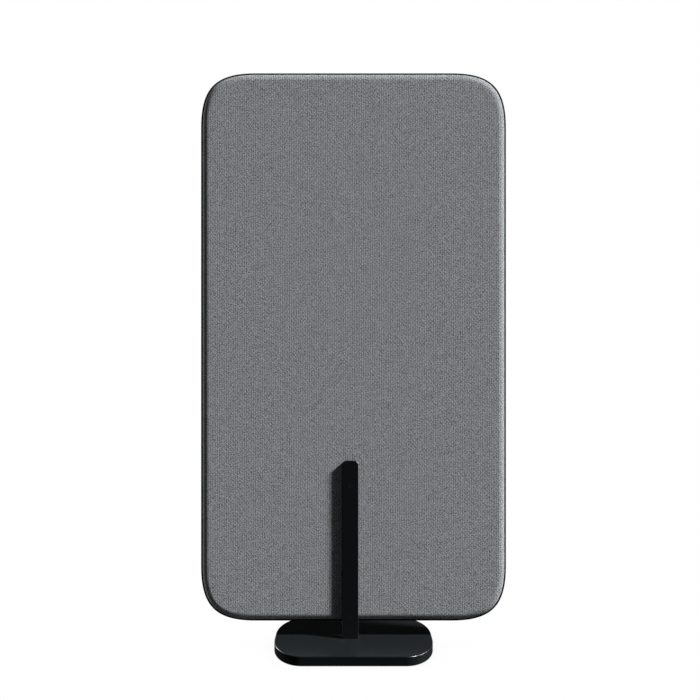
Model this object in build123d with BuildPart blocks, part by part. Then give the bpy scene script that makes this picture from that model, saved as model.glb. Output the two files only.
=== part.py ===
from build123d import *
import os

# Free-standing office partition: an upholstered panel on one flat post and a weighted base.
# Millimetres, Z up, front towards -Y, origin on the floor under the middle of the base.
# A depth is a distance in front of the panel's middle plane.

# Whole screen
screen_height = 1500
panel_width = 800
panel_thickness = 32
gap_under_panel = 40
corner_reach = 142
corner_fullness_share = 0.73

# Clearances shared by many pieces, and how far a cut runs past the work
seam_gap = 0.1
fit_gap = 0.3
overrun = 4

# Fabric covers and felt padding
cover_thickness = 0.8
pad_rounding = 14.2
felt_edge_thickness = 1.2

# Edge trim: a head that stands proud of the covers and a tongue pressed into the frame
trim_proud = 3.5
trim_head_width = 6
trim_head_rounding = 1.2
tongue_thickness = 2.4
tongue_length = 6.5
trim_joint_gap = 0.4

# Wooden frame
frame_thickness = 20
frame_member_width = 60
frame_rounding = 7
dowel_diameter = 8
dowel_length = 40
dowel_spacing = 30

# Post
post_width = 42
post_thickness = 12
post_top = 486
post_offset = 8.5
post_clip = 7
post_clip_softening = 6
post_edge_rounding = 1.2

# Screws that hold the panel on the post, their sleeves and their threaded inserts
upper_screw_height = 420.7
lower_screw_height = 80.4
post_screw_diameter = 6
post_screw_head = 12
countersink_angle = 90
sleeve_diameter = 12
insert_diameter = 9.5
insert_length = 12
insert_set_back = 0.5

# Base
base_width = 410
base_depth = 350
base_height = 24
base_front_straight = 256
base_side_straight = 50
base_fullness_share = 0.5523
base_wall = 3
base_edge_rounding = 2.5
cover_floor_gap = 1
floor_pad_thickness = 2
floor_pad_diameter = 30
ballast_thickness = 10
foot_plate_width = 140
foot_plate_length = 110
foot_plate_thickness = 8
foot_plate_rounding = 10
foot_screw_diameter = 8
foot_screw_head = 16
boss_diameter = 12
boss_hole_depth = 8
base_screw_diameter = 5
base_screw_head = 10
base_screw_reach = 5

# Where the base's fixings stand, as shares of its half width and half depth
boss_place_share = (0.76, 0.62)
floor_pad_corner_share = (0.6, 0.76)
foot_screw_place_share = 0.72

# Hexagon sockets, as shares of their screw's shank
socket_width_share = 2 / 3
socket_depth_share = 1 / 2

# Places and levels that follow from the sizes
panel_bottom = base_height + gap_under_panel
panel_height = screen_height - panel_bottom
panel_middle = panel_bottom + panel_height / 2
face_depth = panel_thickness / 2
felt_face_depth = face_depth - cover_thickness - seam_gap
frame_face_depth = frame_thickness / 2
trim_side_depth = trim_head_width / 2
cover_edge_depth = tongue_thickness / 2 + fit_gap
cover_inset = trim_proud + fit_gap
felt_inset = cover_inset + cover_thickness + seam_gap
frame_inset = felt_inset + felt_edge_thickness + seam_gap
opening_inset = frame_inset + frame_member_width
member_middle_inset = frame_inset + frame_member_width / 2
tongue_inset = trim_proud + tongue_length
corner_x = panel_width / 2 - corner_reach
upper_corner_z = screen_height - corner_reach
lower_corner_z = panel_bottom + corner_reach
opening_x = panel_width / 2 - opening_inset
bottom_rail_top = panel_bottom + opening_inset
post_x = -post_offset
post_back_depth = face_depth + fit_gap
post_face_depth = post_back_depth + post_thickness
ballast_top = floor_pad_thickness + ballast_thickness
foot_plate_top = ballast_top + foot_plate_thickness
base_ceiling = base_height - base_wall
base_corner_across = (base_width - base_front_straight) / 2
base_corner_along = (base_depth - base_side_straight) / 2
cross_rail_bottom = upper_screw_height - frame_member_width / 2
cross_rail_top = upper_screw_height + frame_member_width / 2


def face_plane(depth):
    """Plane parallel to the panel, centred on it, facing the viewer."""
    return Plane(origin=(0, -depth, panel_middle), x_dir=(1, 0, 0), z_dir=(0, -1, 0))


def post_point(depth, height):
    """Place on the post's centre line, facing the viewer."""
    return Plane(origin=(post_x, -depth, height), x_dir=(1, 0, 0), z_dir=(0, -1, 0))


def soft_rectangle(width, height, reach_x, reach_y, fullness_share):
    """Fill the open sketch with a rectangle whose corners are single smooth curves."""
    x = width / 2
    y = height / 2
    start_x = x - reach_x
    start_y = y - reach_y
    with BuildLine() as outline:
        Line((0, y), (start_x, y))
        Bezier(
            (start_x, y),
            (start_x + reach_x * fullness_share, y),
            (x, start_y + reach_y * fullness_share),
            (x, start_y),
        )
        Line((x, start_y), (x, 0))
        mirror(about=Plane.YZ)
        mirror(about=Plane.XZ)
    make_face(outline.edges())


def panel_outline(inset):
    """Fill the open sketch with the panel's outline, drawn in by inset all round."""
    soft_rectangle(
        panel_width - 2 * inset,
        panel_height - 2 * inset,
        corner_reach - inset,
        corner_reach - inset,
        corner_fullness_share,
    )


def base_outline(inset):
    """Fill the open sketch with the base's plan, drawn in by inset all round."""
    soft_rectangle(
        base_width - 2 * inset,
        base_depth - 2 * inset,
        base_corner_across - inset,
        base_corner_along - inset,
        base_fullness_share,
    )


def rounded_slab(inset, back_depth, front_depth, rounding):
    """Slab of the panel's outline between two depths, with its front edge rounded."""
    with BuildPart() as slab:
        with BuildSketch(face_plane(back_depth)):
            panel_outline(inset)
        extrude(amount=front_depth - back_depth)
        fillet(slab.edges().group_by(Axis.Y)[0], rounding)
    return slab.part


def countersunk_screw(head, shank, length):
    """Flat-headed socket screw that points down, with its head's face at zero."""
    head_height = (head - shank) / 2
    socket_radius = shank * socket_width_share / 2
    with BuildPart() as screw:
        with BuildSketch(Plane.XZ):
            with BuildLine():
                Polyline(
                    (0, 0),
                    (head / 2, 0),
                    (shank / 2, -head_height),
                    (shank / 2, -length),
                    (0, -length),
                    close=True,
                )
            make_face()
        revolve(axis=Axis.Z)
        with BuildSketch(Plane.XY):
            RegularPolygon(socket_radius, side_count=6, major_radius=False)
        extrude(amount=-shank * socket_depth_share, mode=Mode.SUBTRACT)
    return screw.part


def save(piece, name):
    """Label a finished piece and write its file."""
    piece.label = name
    export_step(piece, f"parts/{name}.step")


os.makedirs("parts", exist_ok=True)

# Fixing holes through the padding, where the sleeves pass
screw_heights = (lower_screw_height, upper_screw_height)
sleeve_hole_places = [post_point(face_depth, height) for height in screw_heights]
sleeve_hole_radius = sleeve_diameter / 2 + fit_gap

# Front cover: woven cloth drawn over the padding and tucked under the trim's head
cover_outside = rounded_slab(cover_inset, cover_edge_depth, face_depth, pad_rounding)
cover_inside = rounded_slab(
    cover_inset + cover_thickness,
    0,
    face_depth - cover_thickness,
    pad_rounding - cover_thickness,
)
with BuildPart() as rear_cover:
    add(cover_outside)
    add(cover_inside, mode=Mode.SUBTRACT)
    mirror(about=Plane.XZ, mode=Mode.REPLACE)
save(rear_cover.part, "rear_cover")

with BuildPart() as front_cover:
    add(cover_outside)
    add(cover_inside, mode=Mode.SUBTRACT)
    with Locations(*sleeve_hole_places):
        Hole(sleeve_hole_radius)
save(front_cover.part, "front_cover")

# Felt padding, which lies on the frame and thins over its rounded edge
felt_outside = rounded_slab(
    felt_inset,
    cover_edge_depth,
    felt_face_depth,
    pad_rounding - cover_thickness - seam_gap,
)
felt_inside = rounded_slab(
    frame_inset - seam_gap, 0, frame_face_depth, frame_rounding + seam_gap
)
with BuildPart() as rear_felt:
    add(felt_outside)
    add(felt_inside, mode=Mode.SUBTRACT)
    mirror(about=Plane.XZ, mode=Mode.REPLACE)
save(rear_felt.part, "rear_felt")

with BuildPart() as front_felt:
    add(felt_outside)
    add(felt_inside, mode=Mode.SUBTRACT)
    with Locations(*sleeve_hole_places):
        Hole(sleeve_hole_radius)
save(front_felt.part, "front_felt")

# Edge trim: one length of moulding, its two ends meeting behind the post
with BuildPart() as edge_trim:
    with BuildSketch(face_plane(-trim_side_depth)):
        panel_outline(0)
    extrude(amount=trim_head_width)
    head_edges = edge_trim.edges().group_by(Axis.Y)[0] + edge_trim.edges().group_by(Axis.Y)[-1]
    fillet(head_edges, trim_head_rounding)
    with BuildSketch(face_plane(-trim_side_depth - overrun)):
        panel_outline(tongue_inset)
    extrude(amount=trim_head_width + 2 * overrun, mode=Mode.SUBTRACT)
    for side_depth in (-trim_side_depth - overrun, tongue_thickness / 2):
        with BuildSketch(face_plane(side_depth)):
            panel_outline(trim_proud)
        extrude(
            amount=trim_side_depth + overrun - tongue_thickness / 2,
            mode=Mode.SUBTRACT,
        )
    with BuildSketch(Plane(origin=(post_x, 0, panel_bottom - overrun))):
        Rectangle(trim_joint_gap, trim_head_width + 2 * overrun)
    extrude(amount=tongue_inset + 2 * overrun, mode=Mode.SUBTRACT)
save(edge_trim.part, "edge_trim")

# Frame joints: each place is a plane on a joint, whose normal is the dowels' direction
rail_joint_xs = (-corner_x, corner_x)
stile_joint_xs = (
    member_middle_inset - panel_width / 2,
    panel_width / 2 - member_middle_inset,
)
bottom_rail_z = panel_bottom + member_middle_inset
top_rail_z = screen_height - member_middle_inset
across_joints = [(x, z) for x in rail_joint_xs for z in (bottom_rail_z, top_rail_z)]
across_joints += [(x, upper_screw_height) for x in (-opening_x, opening_x)]
upright_joints = [(x, z) for x in stile_joint_xs for z in (lower_corner_z, upper_corner_z)]
upright_joints += [(post_x, z) for z in (bottom_rail_top, cross_rail_bottom)]
dowel_places = []
for side in (-dowel_spacing / 2, dowel_spacing / 2):
    dowel_places += [Plane(origin=(x, 0, z + side), z_dir=(1, 0, 0)) for x, z in across_joints]
    dowel_places += [Plane(origin=(x + side, 0, z), z_dir=(0, 0, 1)) for x, z in upright_joints]

with BuildPart() as frame_dowels:
    with Locations(*dowel_places):
        Cylinder(dowel_diameter / 2, dowel_length)
save(frame_dowels.part, "frame_dowels")

# What is cut from the frame members: dowel holes, insert holes and the trim's groove
with BuildPart() as dowel_holes:
    with Locations(*dowel_places):
        Cylinder(dowel_diameter / 2 + seam_gap, dowel_length + 2 * fit_gap)

insert_mouth_depth = frame_face_depth - insert_set_back
insert_back_depth = insert_mouth_depth - insert_length
insert_hole_places = [post_point(insert_back_depth, height) for height in screw_heights]
with BuildPart() as insert_holes:
    for place in insert_hole_places:
        with BuildSketch(place):
            Circle(insert_diameter / 2)
        extrude(amount=insert_length + overrun)

with BuildPart() as trim_groove:
    groove_half_width = tongue_thickness / 2 + seam_gap
    with BuildSketch(face_plane(-groove_half_width)):
        panel_outline(trim_proud)
        with BuildSketch(face_plane(-groove_half_width), mode=Mode.SUBTRACT):
            panel_outline(tongue_inset + fit_gap)
    extrude(amount=2 * groove_half_width)

# Frame blank: the whole outline in the frame's section, from which the outer members are cut
with BuildPart() as frame_blank:
    with BuildSketch(face_plane(-frame_face_depth)):
        panel_outline(frame_inset)
    extrude(amount=frame_thickness)
    blank_edges = frame_blank.edges().group_by(Axis.Y)[0] + frame_blank.edges().group_by(Axis.Y)[-1]
    fillet(blank_edges, frame_rounding)
    with BuildSketch(face_plane(-frame_face_depth)):
        panel_outline(opening_inset)
    extrude(amount=frame_thickness, mode=Mode.SUBTRACT)
    add(trim_groove.part, mode=Mode.SUBTRACT)
    add(dowel_holes.part, mode=Mode.SUBTRACT)
    add(insert_holes.part, mode=Mode.SUBTRACT)

# Outer members: name, then the left, right, lower and upper limits of the region that each fills
left_edge = -panel_width / 2
right_edge = panel_width / 2
outer_members = {
    "left_stile": (left_edge, -corner_x, lower_corner_z, upper_corner_z),
    "right_stile": (corner_x, right_edge, lower_corner_z, upper_corner_z),
    "top_rail": (-corner_x, corner_x, upper_corner_z, screen_height),
    "bottom_rail": (-corner_x, corner_x, panel_bottom, lower_corner_z),
    "upper_left_corner_block": (left_edge, -corner_x, upper_corner_z, screen_height),
    "upper_right_corner_block": (corner_x, right_edge, upper_corner_z, screen_height),
    "lower_left_corner_block": (left_edge, -corner_x, panel_bottom, lower_corner_z),
    "lower_right_corner_block": (corner_x, right_edge, panel_bottom, lower_corner_z),
}
for name, (low_x, high_x, low_z, high_z) in outer_members.items():
    region_plane = Plane(origin=((low_x + high_x) / 2, 0, low_z))
    with BuildPart() as outer_member:
        with BuildSketch(region_plane):
            Rectangle(high_x - low_x, frame_thickness + 2 * overrun)
        extrude(amount=high_z - low_z)
        add(frame_blank.part, mode=Mode.INTERSECT)
    save(outer_member.part, name)

# Cross rail, which spans the stiles at the upper screw
with BuildPart() as cross_rail:
    with BuildSketch(Plane(origin=(0, 0, cross_rail_bottom))):
        Rectangle(2 * opening_x, frame_thickness)
    extrude(amount=frame_member_width)
    add(dowel_holes.part, mode=Mode.SUBTRACT)
    add(insert_holes.part, mode=Mode.SUBTRACT)
save(cross_rail.part, "cross_rail")

# Centre stile, which backs the post between the bottom rail and the cross rail
with BuildPart() as centre_stile:
    with BuildSketch(Plane(origin=(post_x, 0, bottom_rail_top))):
        Rectangle(frame_member_width, frame_thickness)
    extrude(amount=cross_rail_bottom - bottom_rail_top)
    add(dowel_holes.part, mode=Mode.SUBTRACT)
save(centre_stile.part, "centre_stile")

# Core boards: sound-absorbing fill, cut to the frame's openings
centre_stile_left = post_x - frame_member_width / 2
centre_stile_right = post_x + frame_member_width / 2
core_boards = {
    "upper_core": (left_edge, right_edge, cross_rail_top + fit_gap, screen_height),
    "lower_left_core": (
        left_edge,
        centre_stile_left - fit_gap,
        panel_bottom,
        cross_rail_bottom - fit_gap,
    ),
    "lower_right_core": (
        centre_stile_right + fit_gap,
        right_edge,
        panel_bottom,
        cross_rail_bottom - fit_gap,
    ),
}
for name, (low_x, high_x, low_z, high_z) in core_boards.items():
    with BuildPart() as core_board:
        with BuildSketch(face_plane(-frame_face_depth)):
            panel_outline(opening_inset + fit_gap)
        extrude(amount=frame_thickness)
        with BuildSketch(Plane(origin=((low_x + high_x) / 2, 0, low_z))):
            Rectangle(high_x - low_x, frame_thickness + 2 * overrun)
        extrude(amount=high_z - low_z, mode=Mode.INTERSECT)
    save(core_board.part, name)

# Threaded inserts in the frame's front, one for each screw
with BuildPart() as threaded_inserts:
    for place in insert_hole_places:
        with BuildSketch(place):
            Circle(insert_diameter / 2)
            Circle(post_screw_diameter / 2 + seam_gap, mode=Mode.SUBTRACT)
        extrude(amount=insert_length)
save(threaded_inserts.part, "threaded_inserts")

# Spacer sleeves, which carry the post's clamping past the soft padding to the frame
with BuildPart() as spacer_sleeves:
    for height in screw_heights:
        with BuildSketch(post_point(frame_face_depth, height)):
            Circle(sleeve_diameter / 2)
            Circle(post_screw_diameter / 2 + fit_gap, mode=Mode.SUBTRACT)
        extrude(amount=post_back_depth - frame_face_depth)
save(spacer_sleeves.part, "spacer_sleeves")

# Post: flat bar with clipped upper corners, standing on the foot plate inside the base
post_height = post_top - foot_plate_top
with BuildPart() as post:
    with BuildSketch(post_point(post_back_depth, foot_plate_top)) as post_profile:
        Rectangle(post_width, post_height, align=(Align.CENTER, Align.MIN))
        upper_corners = post_profile.vertices().group_by(Axis.Y)[-1]
        chamfer(upper_corners, post_clip)
        clip_corners = post_profile.vertices().group_by(Axis.Y)[1:]
        fillet([corner for level in clip_corners for corner in level], post_clip_softening)
    extrude(amount=post_thickness)
    face_edges = post.faces().sort_by(Axis.Y)[0].edges().sort_by(Axis.Z)[1:]
    fillet(face_edges, post_edge_rounding)
    with Locations(*[post_point(post_face_depth, height) for height in screw_heights]):
        CounterSinkHole(
            post_screw_diameter / 2 + fit_gap,
            post_screw_head / 2 + seam_gap,
            counter_sink_angle=countersink_angle,
        )
save(post.part, "post")

# Post screws, long enough to fill the inserts
post_screw_length = post_face_depth - insert_back_depth - fit_gap
post_screw = countersunk_screw(post_screw_head, post_screw_diameter, post_screw_length)
with BuildPart() as post_screws:
    with Locations(*[post_point(post_face_depth, height) for height in screw_heights]):
        add(post_screw)
save(post_screws.part, "post_screws")

# Places of the base's fixings
boss_x = base_width / 2 * boss_place_share[0]
boss_y = base_depth / 2 * boss_place_share[1]
boss_places = [(x, y) for x in (-boss_x, boss_x) for y in (-boss_y, boss_y)]
post_middle_y = -(post_back_depth + post_face_depth) / 2
foot_screw_x = foot_plate_width / 2 * foot_screw_place_share
foot_screw_y = foot_plate_length / 2 * foot_screw_place_share
foot_screw_places = [
    (post_x + x, post_middle_y + y)
    for x in (-foot_screw_x, foot_screw_x)
    for y in (-foot_screw_y, foot_screw_y)
]
pad_x = base_width / 2 * floor_pad_corner_share[0]
pad_y = base_depth / 2 * floor_pad_corner_share[1]
pad_places = [(x, y) for x in (-pad_x, pad_x) for y in (-pad_y, pad_y)]
pad_places += [(x, 0) for x in (-pad_x, pad_x)]

# Base cover: shallow shell with a rounded upper edge, a slot for the post and four bosses
with BuildPart() as base_cover:
    with BuildSketch(Plane.XY.offset(cover_floor_gap)):
        base_outline(0)
    extrude(amount=base_height - cover_floor_gap)
    fillet(base_cover.edges().group_by(Axis.Z)[-1], base_edge_rounding)
    with BuildSketch(Plane.XY):
        base_outline(base_wall)
    extrude(amount=base_ceiling, mode=Mode.SUBTRACT)
    with BuildSketch(Plane.XY.offset(ballast_top)):
        with Locations(*boss_places):
            Circle(boss_diameter / 2)
    extrude(amount=base_ceiling - ballast_top)
    with BuildSketch(Plane(origin=(post_x, post_middle_y, base_ceiling - overrun))):
        Rectangle(post_width + 2 * seam_gap, post_thickness + 2 * seam_gap)
    extrude(amount=base_wall + 2 * overrun, mode=Mode.SUBTRACT)
    with BuildSketch(Plane.XY.offset(ballast_top)):
        with Locations(*boss_places):
            Circle(base_screw_diameter / 2 + seam_gap)
    extrude(amount=boss_hole_depth, mode=Mode.SUBTRACT)
save(base_cover.part, "base_cover")

# Foot plate, welded to the post's lower end
with BuildPart() as foot_plate:
    with BuildSketch(Plane(origin=(post_x, post_middle_y, ballast_top))):
        RectangleRounded(foot_plate_width, foot_plate_length, foot_plate_rounding)
    extrude(amount=foot_plate_thickness)
    with BuildSketch(Plane.XY.offset(ballast_top)):
        with Locations(*foot_screw_places):
            Circle(foot_screw_diameter / 2 + seam_gap)
    extrude(amount=foot_plate_thickness, mode=Mode.SUBTRACT)
save(foot_plate.part, "foot_plate")

# Ballast plate, which closes the base from below and carries its weight
with BuildPart() as ballast_plate:
    with BuildSketch(Plane.XY.offset(floor_pad_thickness)):
        base_outline(base_wall + fit_gap)
    extrude(amount=ballast_thickness)
    for places, screw_diameter, head_diameter in (
        (boss_places, base_screw_diameter, base_screw_head),
        (foot_screw_places, foot_screw_diameter, foot_screw_head),
    ):
        for x, y in places:
            with Locations(Plane(origin=(x, y, floor_pad_thickness), z_dir=(0, 0, -1))):
                CounterSinkHole(
                    screw_diameter / 2 + fit_gap,
                    head_diameter / 2 + seam_gap,
                    counter_sink_angle=countersink_angle,
                )
save(ballast_plate.part, "ballast_plate")

# Screws driven up through the ballast plate
base_screw = countersunk_screw(
    base_screw_head, base_screw_diameter, ballast_thickness + base_screw_reach
)
foot_screw = countersunk_screw(
    foot_screw_head,
    foot_screw_diameter,
    ballast_thickness + foot_plate_thickness - fit_gap,
)
for name, screw, places in (
    ("base_cover_screws", base_screw, boss_places),
    ("foot_plate_screws", foot_screw, foot_screw_places),
):
    with BuildPart() as underside_screws:
        for x, y in places:
            with Locations(Plane(origin=(x, y, floor_pad_thickness), z_dir=(0, 0, -1))):
                add(screw)
    save(underside_screws.part, name)

# Floor pads glued under the ballast plate
with BuildPart() as floor_pads:
    with BuildSketch(Plane.XY):
        with Locations(*pad_places):
            Circle(floor_pad_diameter / 2)
    extrude(amount=floor_pad_thickness)
save(floor_pads.part, "floor_pads")
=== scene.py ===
import math

import bmesh
import bpy
import numpy as np
from mathutils import Matrix, Vector


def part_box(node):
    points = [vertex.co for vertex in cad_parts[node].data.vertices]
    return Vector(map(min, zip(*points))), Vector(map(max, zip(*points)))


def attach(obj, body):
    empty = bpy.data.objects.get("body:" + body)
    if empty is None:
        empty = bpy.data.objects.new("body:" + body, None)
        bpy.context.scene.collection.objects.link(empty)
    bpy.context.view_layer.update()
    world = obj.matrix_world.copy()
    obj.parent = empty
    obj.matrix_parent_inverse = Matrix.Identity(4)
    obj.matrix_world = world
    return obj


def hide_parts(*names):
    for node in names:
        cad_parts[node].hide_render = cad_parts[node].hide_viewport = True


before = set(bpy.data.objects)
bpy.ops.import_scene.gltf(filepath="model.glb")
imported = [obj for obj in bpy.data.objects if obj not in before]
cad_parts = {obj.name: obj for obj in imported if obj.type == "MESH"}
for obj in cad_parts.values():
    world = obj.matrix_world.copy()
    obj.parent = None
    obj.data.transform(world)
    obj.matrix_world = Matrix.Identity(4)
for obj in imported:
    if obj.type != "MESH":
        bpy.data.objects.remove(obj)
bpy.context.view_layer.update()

# The view. A level camera with a normal lens stands about two and a half metres in front of
# the screen, at half its height and a little to the left of its middle.
lens_mm = 50
sensor_mm = 36
camera_place = (-0.0092, -2.553, 0.774)
level_gaze = math.radians(90)

camera = bpy.data.objects.new("camera", bpy.data.cameras.new("camera"))
camera.data.lens = lens_mm
camera.data.sensor_width = sensor_mm
camera.location = camera_place
camera.rotation_euler = (level_gaze, 0, 0)
bpy.context.scene.collection.objects.link(camera)
bpy.context.scene.camera = camera
bpy.context.scene.view_settings.view_transform = "Standard"


# Wooden frame. Stiles, rails, corner blocks, a cross rail and a centre stile of planed spruce,
# glued and held by beech dowels. Spruce is pale, with darker late wood in lines along its length.
spruce_light = "D9BD92"
spruce_dark = "B08A5A"
beech_light = "D8B58C"
beech_dark = "C39A6C"
ring_spacing = 0.004
ring_stretch = 0.06
ring_waviness = 0.4
across_the_screen = 0
up_the_screen = 2
late_wood_end = 0.35
early_wood_start = 0.6
planing_relief = 0.0001
planed_roughness = 0.6
wood_ior = 1.5


def linear(colour):
    """An sRGB hex colour as linear red, green, blue and full alpha."""
    channels = [int(colour[place:place + 2], 16) / 255 for place in (0, 2, 4)]
    return [c / 12.92 if c <= 0.04045 else ((c + 0.055) / 1.055) ** 2.4 for c in channels] + [1]


def new_finish(name):
    """An empty node material for one finish."""
    finish = bpy.data.materials.new(name)
    finish.use_nodes = True
    finish.node_tree.nodes.clear()
    return finish


def add(finish, kind, inputs=None, **settings):
    """Adds a node to a finish, with its settings, and sets or links its inputs."""
    made = finish.node_tree.nodes.new(kind)
    for setting, value in settings.items():
        setattr(made, setting, value)
    for socket, value in (inputs or {}).items():
        if isinstance(value, bpy.types.NodeSocket):
            finish.node_tree.links.new(value, made.inputs[socket])
        else:
            made.inputs[socket].default_value = value
    return made


def dress(finish, *names):
    """Gives nodes of the CAD model a finish."""
    for name in names:
        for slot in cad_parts[name].material_slots:
            slot.material = finish


def planed_wood(name, light, dark, along):
    """Planed wood whose rings run along one axis of the model."""
    finish = new_finish(name)
    place = add(finish, "ShaderNodeTexCoord").outputs["Object"]
    stretch = [1, 1, 1]
    stretch[along] = ring_stretch
    grain = add(finish, "ShaderNodeMapping", {"Vector": place, "Scale": stretch}).outputs["Vector"]
    rings = add(
        finish,
        "ShaderNodeTexNoise",
        {"Vector": grain, "Scale": 1 / ring_spacing, "Detail": 4, "Distortion": ring_waviness},
    ).outputs["Fac"]
    colour = add(finish, "ShaderNodeValToRGB", {"Fac": rings})
    colour.color_ramp.elements[0].position = late_wood_end
    colour.color_ramp.elements[0].color = linear(dark)
    colour.color_ramp.elements[1].position = early_wood_start
    colour.color_ramp.elements[1].color = linear(light)
    relief = add(finish, "ShaderNodeBump", {"Height": rings, "Distance": planing_relief})
    skin = add(
        finish,
        "ShaderNodeBsdfPrincipled",
        {
            "Base Color": colour.outputs["Color"],
            "Roughness": planed_roughness,
            "IOR": wood_ior,
            "Normal": relief.outputs["Normal"],
        },
    )
    add(finish, "ShaderNodeOutputMaterial", {"Surface": skin.outputs["BSDF"]})
    return finish


dress(
    planed_wood("planed_spruce_upright", spruce_light, spruce_dark, up_the_screen),
    "left_stile",
    "right_stile",
    "centre_stile",
    "upper_left_corner_block",
    "upper_right_corner_block",
    "lower_left_corner_block",
    "lower_right_corner_block",
)
dress(
    planed_wood("planed_spruce_across", spruce_light, spruce_dark, across_the_screen),
    "top_rail",
    "bottom_rail",
    "cross_rail",
)
dress(planed_wood("turned_beech", beech_light, beech_dark, up_the_screen), "frame_dowels")


# Core boards. Pressed fibre board fills the frame's three openings and takes up sound. It is a
# dull, mottled grey, with clumps of pale fibre and a slightly open surface.
fibre_board_light = "A9A79F"
fibre_board_dark = "6F6E69"
fibre_clump = 0.006
open_surface_depth = 0.0006
board_roughness = 0.95
board_ior = 1.4

fibre_board = new_finish("pressed_fibre_board")
board_place = add(fibre_board, "ShaderNodeTexCoord").outputs["Object"]
clumps = add(
    fibre_board,
    "ShaderNodeTexNoise",
    {"Vector": board_place, "Scale": 1 / fibre_clump, "Detail": 6},
).outputs["Fac"]
board_colour = add(fibre_board, "ShaderNodeValToRGB", {"Fac": clumps})
board_colour.color_ramp.elements[0].color = linear(fibre_board_dark)
board_colour.color_ramp.elements[1].color = linear(fibre_board_light)
board_relief = add(
    fibre_board, "ShaderNodeBump", {"Height": clumps, "Distance": open_surface_depth}
)
board_skin = add(
    fibre_board,
    "ShaderNodeBsdfPrincipled",
    {
        "Base Color": board_colour.outputs["Color"],
        "Roughness": board_roughness,
        "IOR": board_ior,
        "Normal": board_relief.outputs["Normal"],
    },
)
add(fibre_board, "ShaderNodeOutputMaterial", {"Surface": board_skin.outputs["BSDF"]})
dress(fibre_board, "upper_core", "lower_left_core", "lower_right_core")


# Threaded inserts and spacer sleeves. Turned brass inserts are screwed into the frame, and zinc
# plated steel sleeves stand on it through the padding, so that the post's screws don't crush it.
# The lathe's marks dull both, and are drawn coarser here than their real tenth of a millimetre.
brass = "D8B463"
brass_roughness = 0.3
zinc = "C9CDD0"
zinc_roughness = 0.35
turning_mark = 0.0004
turning_depth = 0.00003
fine_turning_depth = 0.00002
dulling_swing = 0.2


def metal(name, colour, roughness, mark, depth, metallic=1):
    """Metal with the fine marks that its making leaves, which dull and roughen it unevenly."""
    finish = new_finish(name)
    place = add(finish, "ShaderNodeTexCoord").outputs["Object"]
    marks = add(
        finish, "ShaderNodeTexNoise", {"Vector": place, "Scale": 1 / mark, "Detail": 3}
    ).outputs["Fac"]
    dulling = add(
        finish,
        "ShaderNodeMapRange",
        {
            "Value": marks,
            "To Min": roughness * (1 - dulling_swing),
            "To Max": roughness * (1 + dulling_swing),
        },
    )
    relief = add(finish, "ShaderNodeBump", {"Height": marks, "Distance": depth})
    skin = add(
        finish,
        "ShaderNodeBsdfPrincipled",
        {
            "Base Color": linear(colour),
            "Metallic": metallic,
            "Roughness": dulling.outputs["Result"],
            "Normal": relief.outputs["Normal"],
        },
    )
    add(finish, "ShaderNodeOutputMaterial", {"Surface": skin.outputs["BSDF"]})
    return finish


zinc_plate = metal("zinc_plated_steel", zinc, zinc_roughness, turning_mark, fine_turning_depth)
dress(
    metal("turned_brass", brass, brass_roughness, turning_mark, turning_depth),
    "threaded_inserts",
)
dress(zinc_plate, "spacer_sleeves")


# Padding. Needled polyester felt is laid over both faces of the frame and round its edge. Each
# side is one closed pad between the frame and the cloth, with two holes for the sleeves in front.
# Single fibres are too fine to show, and are drawn as tufts of a millimetre and a half.
corner_reach = 0.142
corner_fullness = 0.73
corner_steps = 14
straight_step = 0.02
front_side = -1
rear_side = 1
felt_reach = 0.0155
felt_inner_inset = 0.0059
felt_inner_rounding = 0.0071
felt_light = "B4B3AD"
felt_dark = "85847F"
felt_fibre = 0.0015
felt_relief_depth = 0.0004
felt_roughness = 0.95
felt_sheen = 0.3
polyester_ior = 1.45

# The rounding of felt and cloth ends 80 degrees round, so it meets the flat face at a slight
# angle. It starts half a millimetre further in than the CAD's, tucked under the trim, and has a
# straight wall below it only where that is longer than the least one.
rounding_turn = math.radians(80)
rounding_steps = 18
tuck = 0.0005
flat_margin = 0.0005
least_wall = 0.00005

# The sleeve holes' radius, the length and sides of what cuts them, and how close to that radius
# a point on their edge lies. An edge that turns by more than the sharp one isn't smoothed.
sleeve_hole = 0.0063
hole_depth = 0.03
hole_sides = 32
hole_edge = 0.0002
sharp_edge = math.radians(35)

panel_low, panel_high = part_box("edge_trim")
panel_middle = (panel_low + panel_high) / 2
panel_half = (panel_high - panel_low) / 2
wood_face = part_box("left_stile")[1].y
sleeves_low, sleeves_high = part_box("spacer_sleeves")
sleeve_radius = (sleeves_high.x - sleeves_low.x) / 2
sleeve_x = (sleeves_low.x + sleeves_high.x) / 2
sleeve_places = [
    (sleeve_x, sleeves_low.z + sleeve_radius),
    (sleeve_x, sleeves_high.z - sleeve_radius),
]


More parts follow.
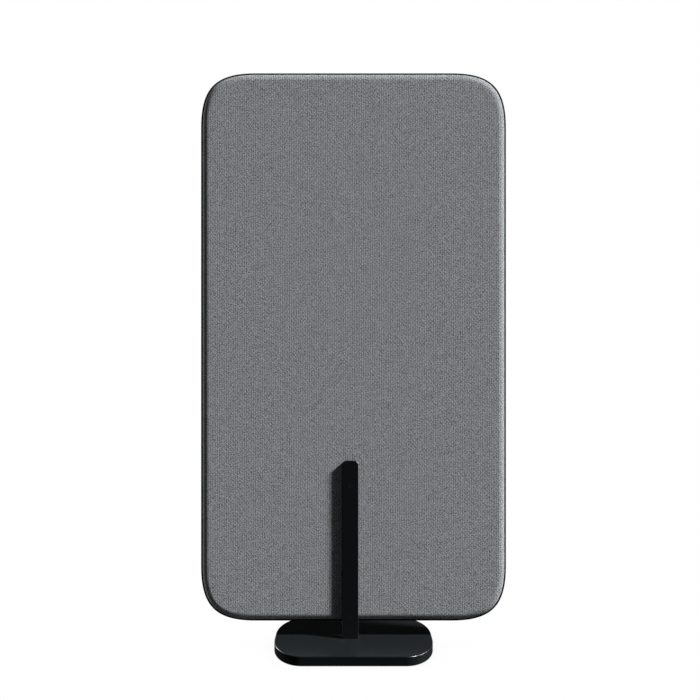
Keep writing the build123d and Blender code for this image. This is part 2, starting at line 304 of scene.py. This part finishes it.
def panel_outline(inset):
    """The panel's outline moved in, clockwise from the middle of its upper left corner."""
    # A corner is one cubic curve from a to d. Here t takes its first half, and the rest mirrors.
    reach = corner_reach - inset
    t = np.linspace(0, 0.5, corner_steps + 1)[:, None]
    a, b, c, d = (
        reach * np.array(point)
        for point in ((-1, 0), (corner_fullness - 1, 0), (0, corner_fullness - 1), (0, -1))
    )
    corner = (1 - t) ** 3 * a + 3 * t * (1 - t) ** 2 * b + 3 * t ** 2 * (1 - t) * c + t ** 3 * d
    heading = (1 - t) ** 2 * (b - a) + 2 * t * (1 - t) * (c - b) + t ** 2 * (d - c)
    heading /= np.hypot(heading[:, 0], heading[:, 1])[:, None]
    quarter_turn = np.array([[0, -1], [1, 0]])
    places = []
    outward = []
    for side in range(4):
        along, out = (panel_half.x, panel_half.z) if side % 2 == 0 else (panel_half.z, panel_half.x)
        straight = along - inset - reach
        pieces = round(2 * straight / straight_step)
        ending = corner + (along - inset, out - inset)
        middle = np.column_stack([
            np.linspace(-straight, straight, pieces + 1)[1:-1],
            np.full(pieces - 1, out - inset),
        ])
        run = np.vstack([ending[::-1] * (-1, 1), middle, ending[:-1]])
        headings = np.vstack([
            heading[::-1] * (1, -1),
            np.tile((1.0, 0.0), (pieces - 1, 1)),
            heading[:-1],
        ])
        turn = np.linalg.matrix_power(quarter_turn, side)
        places.append(run @ turn + (panel_middle.x, panel_middle.z))
        outward.append(np.column_stack([-headings[:, 1], headings[:, 0]]) @ turn)
    return np.vstack(places), np.vstack(outward), len(places[0]), len(places[1])


def flat_grid(ring, across, up):
    """Points that fill a flat outline, as rows of columns, between its four sides."""
    top = np.array([ring[place] for place in range(across + 1)])
    right = np.array([ring[across + place] for place in range(up + 1)])[::-1]
    bottom = np.array([ring[across + up + place] for place in range(across + 1)])[::-1]
    left = np.array([ring[(2 * across + up + place) % len(ring)] for place in range(up + 1)])
    s = np.linspace(0, 1, across + 1)[:, None, None]
    t = np.linspace(0, 1, up + 1)[None, :, None]
    between = (1 - t) * bottom[:, None] + t * top[:, None] + (1 - s) * left[None] + s * right[None]
    low_corners = (1 - s) * (1 - t) * left[0] + s * (1 - t) * right[0]
    return between - (low_corners + (1 - s) * t * left[-1] + s * t * right[-1])


def pad_profile(edge, face, reach, drop, turn):
    """Section of a pad's edge, from its rim to its flat face: way in, depth, and way round left."""
    turns = np.linspace(0, turn, rounding_steps + 1)
    section = np.column_stack([
        reach * (1 - np.cos(turns)) / (1 - math.cos(turn)),
        face - drop + drop * np.sin(turns) / math.sin(turn),
    ])
    if face - drop - edge > least_wall:
        section = np.vstack([(0, edge), section])
    steps = np.hypot(*np.diff(section, axis=0).T)
    left = np.append(np.cumsum(steps[::-1])[::-1], 0)
    return np.column_stack([section, left])


def padded_skin(form, cloth_place, side, inset, profile):
    """One skin of a pad, from its rim over its rounded edge to its flat face. Gives its rim."""
    outline, outward, across, up = panel_outline(inset)
    reach, face, _ = profile[-1]
    count = len(outline)
    made = []
    for inwards, depth, left in profile:
        places = outline - outward * inwards
        on_cloth = outline - outward * (reach - left)
        row = [form.verts.new((x, side * depth, z)) for x, z in places]
        for vert, (x, z) in zip(row, on_cloth):
            vert[cloth_place] = (x, z, 0)
        made.append(row)
    grid = flat_grid(outline - outward * (reach + flat_margin), across, up)
    flat = [[form.verts.new((x, side * face, z)) for x, z in column] for column in grid]
    for column in flat:
        for vert in column:
            vert[cloth_place] = (vert.co.x, vert.co.z, 0)
    made.append(
        [flat[i][up] for i in range(across)]
        + [flat[across][up - j] for j in range(up)]
        + [flat[across - i][0] for i in range(across)]
        + [flat[0][j] for j in range(up)]
    )
    for outer, inner in zip(made, made[1:]):
        for place in range(count):
            following = (place + 1) % count
            form.faces.new((outer[place], outer[following], inner[following], inner[place]))
    for i in range(across):
        for j in range(up):
            form.faces.new((flat[i][j], flat[i + 1][j], flat[i + 1][j + 1], flat[i][j + 1]))
    return made[0]


def bore(piece, holes, inset, profile):
    """Cuts the sleeve holes through a pad, and gives their edges their places on the cloth."""
    rim_height = panel_low.z + inset
    cutter_form = bmesh.new()
    for x, z in holes:
        bmesh.ops.create_cone(
            cutter_form,
            cap_ends=True,
            segments=hole_sides,
            radius1=sleeve_hole,
            radius2=sleeve_hole,
            depth=hole_depth,
            matrix=Matrix.Translation((x, -wood_face, z)) @ Matrix.Rotation(math.pi / 2, 4, "X"),
        )
    cutter_mesh = bpy.data.meshes.new("sleeve_hole_cutter")
    cutter_form.to_mesh(cutter_mesh)
    cutter_form.free()
    cutter = bpy.data.objects.new("sleeve_hole_cutter", cutter_mesh)
    bpy.context.scene.collection.objects.link(cutter)
    cut = piece.modifiers.new("sleeve_holes", "BOOLEAN")
    cut.object = cutter
    cut.solver = "EXACT"
    graph = bpy.context.evaluated_depsgraph_get()
    piece.data = bpy.data.meshes.new_from_object(
        piece.evaluated_get(graph), preserve_all_data_layers=True, depsgraph=graph
    )
    piece.modifiers.clear()
    bpy.data.objects.remove(cutter)
    for vert, on_cloth in zip(piece.data.vertices, piece.data.attributes["cloth_place"].data):
        off_edge = min(
            abs(math.hypot(vert.co.x - x, vert.co.z - z) - sleeve_hole) for x, z in holes
        )
        if off_edge < hole_edge:
            left = np.interp(vert.co.z - rim_height, profile[:, 0], profile[:, 2])
            flat_height = max(vert.co.z, rim_height + profile[-1, 0])
            on_cloth.vector = (vert.co.x, flat_height - left, 0)


def pad(name, side, outer, inner, holes):
    """A closed pad on one side of the panel, between an outer and an inner skin."""
    form = bmesh.new()
    cloth_place = form.verts.layers.float_vector.new("cloth_place")
    outside, inside = (padded_skin(form, cloth_place, side, *skin) for skin in (outer, inner))
    for place in range(len(outside)):
        following = (place + 1) % len(outside)
        form.faces.new((outside[place], outside[following], inside[following], inside[place]))
    bmesh.ops.recalc_face_normals(form, faces=form.faces)
    mesh = bpy.data.meshes.new(name)
    form.to_mesh(mesh)
    form.free()
    piece = bpy.data.objects.new(name, mesh)
    bpy.context.scene.collection.objects.link(piece)
    if holes:
        bore(piece, holes, *outer)
    piece.data.shade_smooth()
    piece.data.set_sharp_from_angle(angle=sharp_edge)
    return piece


felt = new_finish("needled_polyester_felt")
felt_place = add(felt, "ShaderNodeTexCoord").outputs["Object"]
fibres = add(
    felt, "ShaderNodeTexNoise", {"Vector": felt_place, "Scale": 1 / felt_fibre, "Detail": 5}
).outputs["Fac"]
felt_colour = add(felt, "ShaderNodeValToRGB", {"Fac": fibres})
felt_colour.color_ramp.elements[0].color = linear(felt_dark)
felt_colour.color_ramp.elements[1].color = linear(felt_light)
felt_relief = add(felt, "ShaderNodeBump", {"Height": fibres, "Distance": felt_relief_depth})
felt_skin = add(
    felt,
    "ShaderNodeBsdfPrincipled",
    {
        "Base Color": felt_colour.outputs["Color"],
        "Roughness": felt_roughness,
        "IOR": polyester_ior,
        "Sheen Weight": felt_sheen,
        "Normal": felt_relief.outputs["Normal"],
    },
)
add(felt, "ShaderNodeOutputMaterial", {"Surface": felt_skin.outputs["BSDF"]})

for node, side, holes in (
    ("front_felt", front_side, sleeve_places),
    ("rear_felt", rear_side, []),
):
    low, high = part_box(node)
    edge, face = sorted((abs(low.y), abs(high.y)))
    felt_pad = pad(
        node.replace("felt", "felt_pad"),
        side,
        (
            panel_half.x - high.x + tuck,
            pad_profile(edge, face, felt_reach, face - edge, rounding_turn),
        ),
        (
            felt_inner_inset,
            pad_profile(edge, wood_face, felt_inner_rounding, felt_inner_rounding, math.pi / 2),
        ),
        holes,
    )
    felt_pad.data.materials.append(felt)
    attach(felt_pad, "root")
    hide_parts(node)


# Covers. A thick grey cloth, woven of light and dark polyester yarns, is drawn tight over the
# felt on each side and turned in at the edge. Its ribs stand upright, with long crossings between.
# The yarns' fibres are too fine to show, and the unevenness they give is drawn 0.8 mm coarse.
cover_reach = 0.0165
cloth_thickness = 0.0008
cloth_light = "A8ACAF"
cloth_dark = "0C0C0D"
rib_pitch = 0.0047
crossing_length = 0.01056
yarns_in_rib = 4
yarns_in_crossing = 8
fibre_width = 0.0008
weave_relief = 0.00002
cloth_shade = 0.05
cloth_roughness = 0.9
cloth_sheen = 0.05
cloth_sheen_roughness = 0.5

woven_cloth = new_finish("woven_melange_cloth")
on_cloth = add(
    woven_cloth, "ShaderNodeAttribute", attribute_name="cloth_place"
).outputs["Vector"]
place_parts = add(woven_cloth, "ShaderNodeSeparateXYZ", {"Vector": on_cloth})

# Turns of the pattern's waves. One rib takes half a turn across the cloth, so the crossings,
# which slant both ways, are two ribs wide.
across_cloth = add(
    woven_cloth,
    "ShaderNodeMath",
    {0: place_parts.outputs["X"], 1: math.pi / rib_pitch},
    operation="MULTIPLY",
).outputs["Value"]
up_cloth = add(
    woven_cloth,
    "ShaderNodeMath",
    {0: place_parts.outputs["Y"], 1: 2 * math.pi / crossing_length},
    operation="MULTIPLY",
).outputs["Value"]
rib_turn, falling_turn, rising_turn = (
    add(
        woven_cloth, "ShaderNodeMath", {0: across_cloth, 1: second}, operation=operation
    ).outputs["Value"]
    for second, operation in ((2, "MULTIPLY"), (up_cloth, "ADD"), (up_cloth, "SUBTRACT"))
)
ribs, falling, rising = (
    add(woven_cloth, "ShaderNodeMath", {0: turn}, operation="COSINE").outputs["Value"]
    for turn in (rib_turn, falling_turn, rising_turn)
)

# Each bit of yarn has its own shade, and a pale one darkens the bit below it.
yarn_count = add(
    woven_cloth,
    "ShaderNodeVectorMath",
    {0: on_cloth, 1: (yarns_in_rib / rib_pitch, yarns_in_crossing / crossing_length, 0)},
    operation="MULTIPLY",
).outputs["Vector"]
yarn_cell = add(
    woven_cloth, "ShaderNodeVectorMath", {0: yarn_count}, operation="FLOOR"
).outputs["Vector"]
next_cell = add(
    woven_cloth, "ShaderNodeVectorMath", {0: yarn_cell, 1: (0, 1, 0)}, operation="ADD"
).outputs["Vector"]
yarn_shade, next_shade = (
    add(
        woven_cloth, "ShaderNodeTexWhiteNoise", {"Vector": cell}, noise_dimensions="3D"
    ).outputs["Value"]
    for cell in (yarn_cell, next_cell)
)
cloth_fibres = add(
    woven_cloth, "ShaderNodeTexNoise", {"Vector": on_cloth, "Scale": 1 / fibre_width, "Detail": 2}
).outputs["Fac"]
shade = cloth_shade
# The ribs' share of the shade is partly painted shade: it darkens the grooves between the ribs and
# lightens their crowns, as light falling on the ribs would. The rest of the pattern is the yarns'
# own colour.
for pattern, share in (
    (ribs, 0.185),
    (falling, 0.052),
    (rising, 0.031),
    (yarn_shade, 0.88),
    (next_shade, -0.3),
    (cloth_fibres, 0.07),
):
    shade = add(
        woven_cloth, "ShaderNodeMath", {0: pattern, 1: share, 2: shade}, operation="MULTIPLY_ADD"
    ).outputs["Value"]
cloth_colour = add(woven_cloth, "ShaderNodeValToRGB", {"Fac": shade})
cloth_colour.color_ramp.elements[0].color = linear(cloth_dark)
cloth_colour.color_ramp.elements[1].color = linear(cloth_light)
height = 0.0
for pattern, share in ((ribs, 0.6), (falling, 0.25), (rising, 0.15), (cloth_fibres, 0.6)):
    height = add(
        woven_cloth, "ShaderNodeMath", {0: pattern, 1: share, 2: height}, operation="MULTIPLY_ADD"
    ).outputs["Value"]
cloth_relief = add(woven_cloth, "ShaderNodeBump", {"Height": height, "Distance": weave_relief})
cloth_skin = add(
    woven_cloth,
    "ShaderNodeBsdfPrincipled",
    {
        "Base Color": cloth_colour.outputs["Color"],
        "Roughness": cloth_roughness,
        "IOR": polyester_ior,
        "Sheen Weight": cloth_sheen,
        "Sheen Roughness": cloth_sheen_roughness,
        "Normal": cloth_relief.outputs["Normal"],
    },
)
add(woven_cloth, "ShaderNodeOutputMaterial", {"Surface": cloth_skin.outputs["BSDF"]})

for node, side, holes in (
    ("front_cover", front_side, sleeve_places),
    ("rear_cover", rear_side, []),
):
    low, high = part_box(node)
    edge, face = sorted((abs(low.y), abs(high.y)))
    inset = panel_half.x - high.x + tuck
    inside_face = face - cloth_thickness
    inside_reach = cover_reach - cloth_thickness
    cover = pad(
        node.replace("cover", "cloth_cover"),
        side,
        (inset, pad_profile(edge, face, cover_reach, face - edge, rounding_turn)),
        (
            inset + cloth_thickness,
            pad_profile(edge, inside_face, inside_reach, inside_face - edge, rounding_turn),
        ),
        holes,
    )
    cover.data.materials.append(woven_cloth)
    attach(cover, "root")
    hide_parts(node)


# Edge trim. One black extrusion of soft plastic runs round the panel and is pressed in between
# the two covers. It has the even, slightly dull face that comes from the die, whose hair lines
# are drawn coarser here, to show.
trim_black = "090A0B"
die_line = 0.0008
die_line_depth = 0.00003
trim_roughness_least = 0.7
trim_roughness_most = 0.8
trim_ior = 1.52
trim_specular = 0.2

extruded_plastic = new_finish("extruded_black_plastic")
trim_place = add(extruded_plastic, "ShaderNodeTexCoord").outputs["Object"]
die_marks = add(
    extruded_plastic,
    "ShaderNodeTexNoise",
    {"Vector": trim_place, "Scale": 1 / die_line, "Detail": 3},
).outputs["Fac"]
trim_dulling = add(
    extruded_plastic,
    "ShaderNodeMapRange",
    {"Value": die_marks, "To Min": trim_roughness_least, "To Max": trim_roughness_most},
)
trim_relief = add(
    extruded_plastic, "ShaderNodeBump", {"Height": die_marks, "Distance": die_line_depth}
)
trim_skin = add(
    extruded_plastic,
    "ShaderNodeBsdfPrincipled",
    {
        "Base Color": linear(trim_black),
        "Roughness": trim_dulling.outputs["Result"],
        "IOR": trim_ior,
        "Specular IOR Level": trim_specular,
        "Normal": trim_relief.outputs["Normal"],
    },
)
add(extruded_plastic, "ShaderNodeOutputMaterial", {"Surface": trim_skin.outputs["BSDF"]})
dress(extruded_plastic, "edge_trim")


# Foot plate, ballast plate and their screws. Plates cut from rolled steel, with the blue-grey
# scale of the mill, and zinc plated countersunk screws. All of them lie inside the base.
mill_scale = "6B6D71"
mill_scale_roughness = 0.45
mill_mottle = 0.012
mill_scale_depth = 0.0001

dress(
    metal("rolled_steel_plate", mill_scale, mill_scale_roughness, mill_mottle, mill_scale_depth),
    "foot_plate",
    "ballast_plate",
)
dress(zinc_plate, "foot_plate_screws", "base_cover_screws")


# Post and base cover. Sheet and flat steel with a black powder coat, baked on. The melted powder
# leaves a fine orange peel, drawn coarser here than its half millimetre, and a satin sheen.
powder_black = "050708"
powder_bloom = "E6F7FF"
powder_grain = 0.0012
powder_relief = 0.00002
powder_roughness = 0.3
powder_roughness_swing = 0.04
powder_ior = 1.5
powder_sheen = 0.022
powder_sheen_roughness = 0.5

powder_coat = new_finish("black_powder_coat")
coat_place = add(powder_coat, "ShaderNodeTexCoord").outputs["Object"]
orange_peel = add(
    powder_coat,
    "ShaderNodeTexNoise",
    {"Vector": coat_place, "Scale": 1 / powder_grain, "Detail": 2},
).outputs["Fac"]
coat_dulling = add(
    powder_coat,
    "ShaderNodeMapRange",
    {
        "Value": orange_peel,
        "To Min": powder_roughness - powder_roughness_swing,
        "To Max": powder_roughness + powder_roughness_swing,
    },
)
coat_relief = add(
    powder_coat, "ShaderNodeBump", {"Height": orange_peel, "Distance": powder_relief}
)
coat_skin = add(
    powder_coat,
    "ShaderNodeBsdfPrincipled",
    {
        "Base Color": linear(powder_black),
        "Roughness": coat_dulling.outputs["Result"],
        "IOR": powder_ior,
        "Sheen Weight": powder_sheen,
        "Sheen Roughness": powder_sheen_roughness,
        "Sheen Tint": linear(powder_bloom),
        "Normal": coat_relief.outputs["Normal"],
    },
)
add(powder_coat, "ShaderNodeOutputMaterial", {"Surface": coat_skin.outputs["BSDF"]})
dress(powder_coat, "post", "base_cover")


# Post screws. Countersunk socket screws hold the panel to the post. Black oxide is a mineral film
# on turned steel, so the heads are dark and half dull, with none of the bare metal's shine.
oxide_black = "08090A"
oxide_roughness = 0.4

black_oxide = metal(
    "black_oxide_steel",
    oxide_black,
    oxide_roughness,
    turning_mark,
    fine_turning_depth,
    metallic=0,
)
dress(black_oxide, "post_screws")


# Floor pads. Six discs of moulded black rubber are stuck under the ballast plate. Rubber is dull
# and faintly dusty, with hardly any reflection.
rubber_black = "161616"
rubber_dust = 0.002
rubber_dust_depth = 0.00005
rubber_roughness_least = 0.75
rubber_roughness_most = 0.9
rubber_ior = 1.52

moulded_rubber = new_finish("moulded_rubber")
pad_place = add(moulded_rubber, "ShaderNodeTexCoord").outputs["Object"]
dust = add(
    moulded_rubber,
    "ShaderNodeTexNoise",
    {"Vector": pad_place, "Scale": 1 / rubber_dust, "Detail": 4},
).outputs["Fac"]
rubber_dulling = add(
    moulded_rubber,
    "ShaderNodeMapRange",
    {"Value": dust, "To Min": rubber_roughness_least, "To Max": rubber_roughness_most},
)
rubber_relief = add(
    moulded_rubber, "ShaderNodeBump", {"Height": dust, "Distance": rubber_dust_depth}
)
rubber_skin = add(
    moulded_rubber,
    "ShaderNodeBsdfPrincipled",
    {
        "Base Color": linear(rubber_black),
        "Roughness": rubber_dulling.outputs["Result"],
        "IOR": rubber_ior,
        "Normal": rubber_relief.outputs["Normal"],
    },
)
add(moulded_rubber, "ShaderNodeOutputMaterial", {"Surface": rubber_skin.outputs["BSDF"]})
dress(moulded_rubber, "floor_pads")


# Floor and background. Both are plain white to the camera, and a soft shadow is painted on the
# floor where the base stands near it. What they throw back on the object is dim, as in the photo.
white = (1, 1, 1, 1)
full_glow = 1.0
floor_size = 60
floor_glow = 0.2
room_glow = 0.02
gloss_glow = 0.004

# How open the floor is within this reach, and how light the painted shadow leaves it for that.
contact_reach = 0.08
contact_samples = 16
painted_shadow_levels = ((0, 0.03), (0.3, 0.8), (0.55, 0.96), (1, 1))


def seen_light(finish, seen, glow):
    """The strength of a white surface to the camera, to reflections and to soft light."""
    path = add(finish, "ShaderNodeLightPath").outputs
    strength = add(
        finish, "ShaderNodeMath", {0: path["Is Camera Ray"], 1: seen}, operation="MULTIPLY"
    ).outputs["Value"]
    for ray, level in (
        ("Is Glossy Ray", gloss_glow),
        ("Is Transmission Ray", gloss_glow),
        ("Is Diffuse Ray", glow),
    ):
        strength = add(
            finish,
            "ShaderNodeMath",
            {0: path[ray], 1: level, 2: strength},
            operation="MULTIPLY_ADD",
        ).outputs["Value"]
    return strength


white_floor = new_finish("white_floor")
contact = add(
    white_floor, "ShaderNodeAmbientOcclusion", {"Distance": contact_reach}, samples=contact_samples
)
# Painted contact shadow: the floor's openness near the base sets how dark it is painted.
painted_shadow_ramp = add(white_floor, "ShaderNodeValToRGB", {"Fac": contact.outputs["AO"]})
for _ in painted_shadow_levels[2:]:
    painted_shadow_ramp.color_ramp.elements.new(1)
for stop, (openness, level) in zip(painted_shadow_ramp.color_ramp.elements, painted_shadow_levels):
    stop.position = openness
    stop.color = (level, level, level, 1)
floor_light = seen_light(white_floor, painted_shadow_ramp.outputs["Color"], floor_glow)
floor_skin = add(white_floor, "ShaderNodeEmission", {"Color": white, "Strength": floor_light})
add(white_floor, "ShaderNodeOutputMaterial", {"Surface": floor_skin.outputs["Emission"]})

floor_form = bmesh.new()
bmesh.ops.create_grid(floor_form, x_segments=1, y_segments=1, size=floor_size / 2)
floor_mesh = bpy.data.meshes.new("floor")
floor_form.to_mesh(floor_mesh)
floor_form.free()
floor_mesh.materials.append(white_floor)
floor = bpy.data.objects.new("floor", floor_mesh)
bpy.context.scene.collection.objects.link(floor)

room = bpy.data.worlds.new("room")
room.use_nodes = True
room.node_tree.nodes.clear()
room_light = seen_light(room, full_glow, room_glow)
room_skin = add(room, "ShaderNodeBackground", {"Color": white, "Strength": room_light})
add(room, "ShaderNodeOutputWorld", {"Surface": room_skin.outputs["Background"]})
bpy.context.scene.world = room


# Lamps. The key stands well up at the right and slightly in front. Two low ones light the cloth's
# left edge and the back, and are kept out of reflections. Two more show only in reflections, low
# at the left rear and low at the right, and draw the thin lines along the base's edge.
for name, toward, strength, spread, lights, shines in (
    ("key", (0.735, -0.267, 0.623), 10.9, 9, True, True),
    ("left", (-0.88, 0.475, 0.02), 3.1, 3, True, False),
    ("behind", (0.1, 0.995, 0), 1.6, 5, True, False),
    ("left edge", (-0.65, 0.74, 0.16), 1.0, 10, False, True),
    ("right edge", (0.88, 0.28, 0.12), 2.6, 28, False, True),
):
    lamp = bpy.data.lights.new(name, "SUN")
    lamp.energy = strength
    lamp.angle = math.radians(spread)
    holder = bpy.data.objects.new(name, lamp)
    holder.rotation_euler = Vector(toward).to_track_quat("Z", "Y").to_euler()
    holder.visible_diffuse = lights
    holder.visible_glossy = shines
    bpy.context.scene.collection.objects.link(holder)
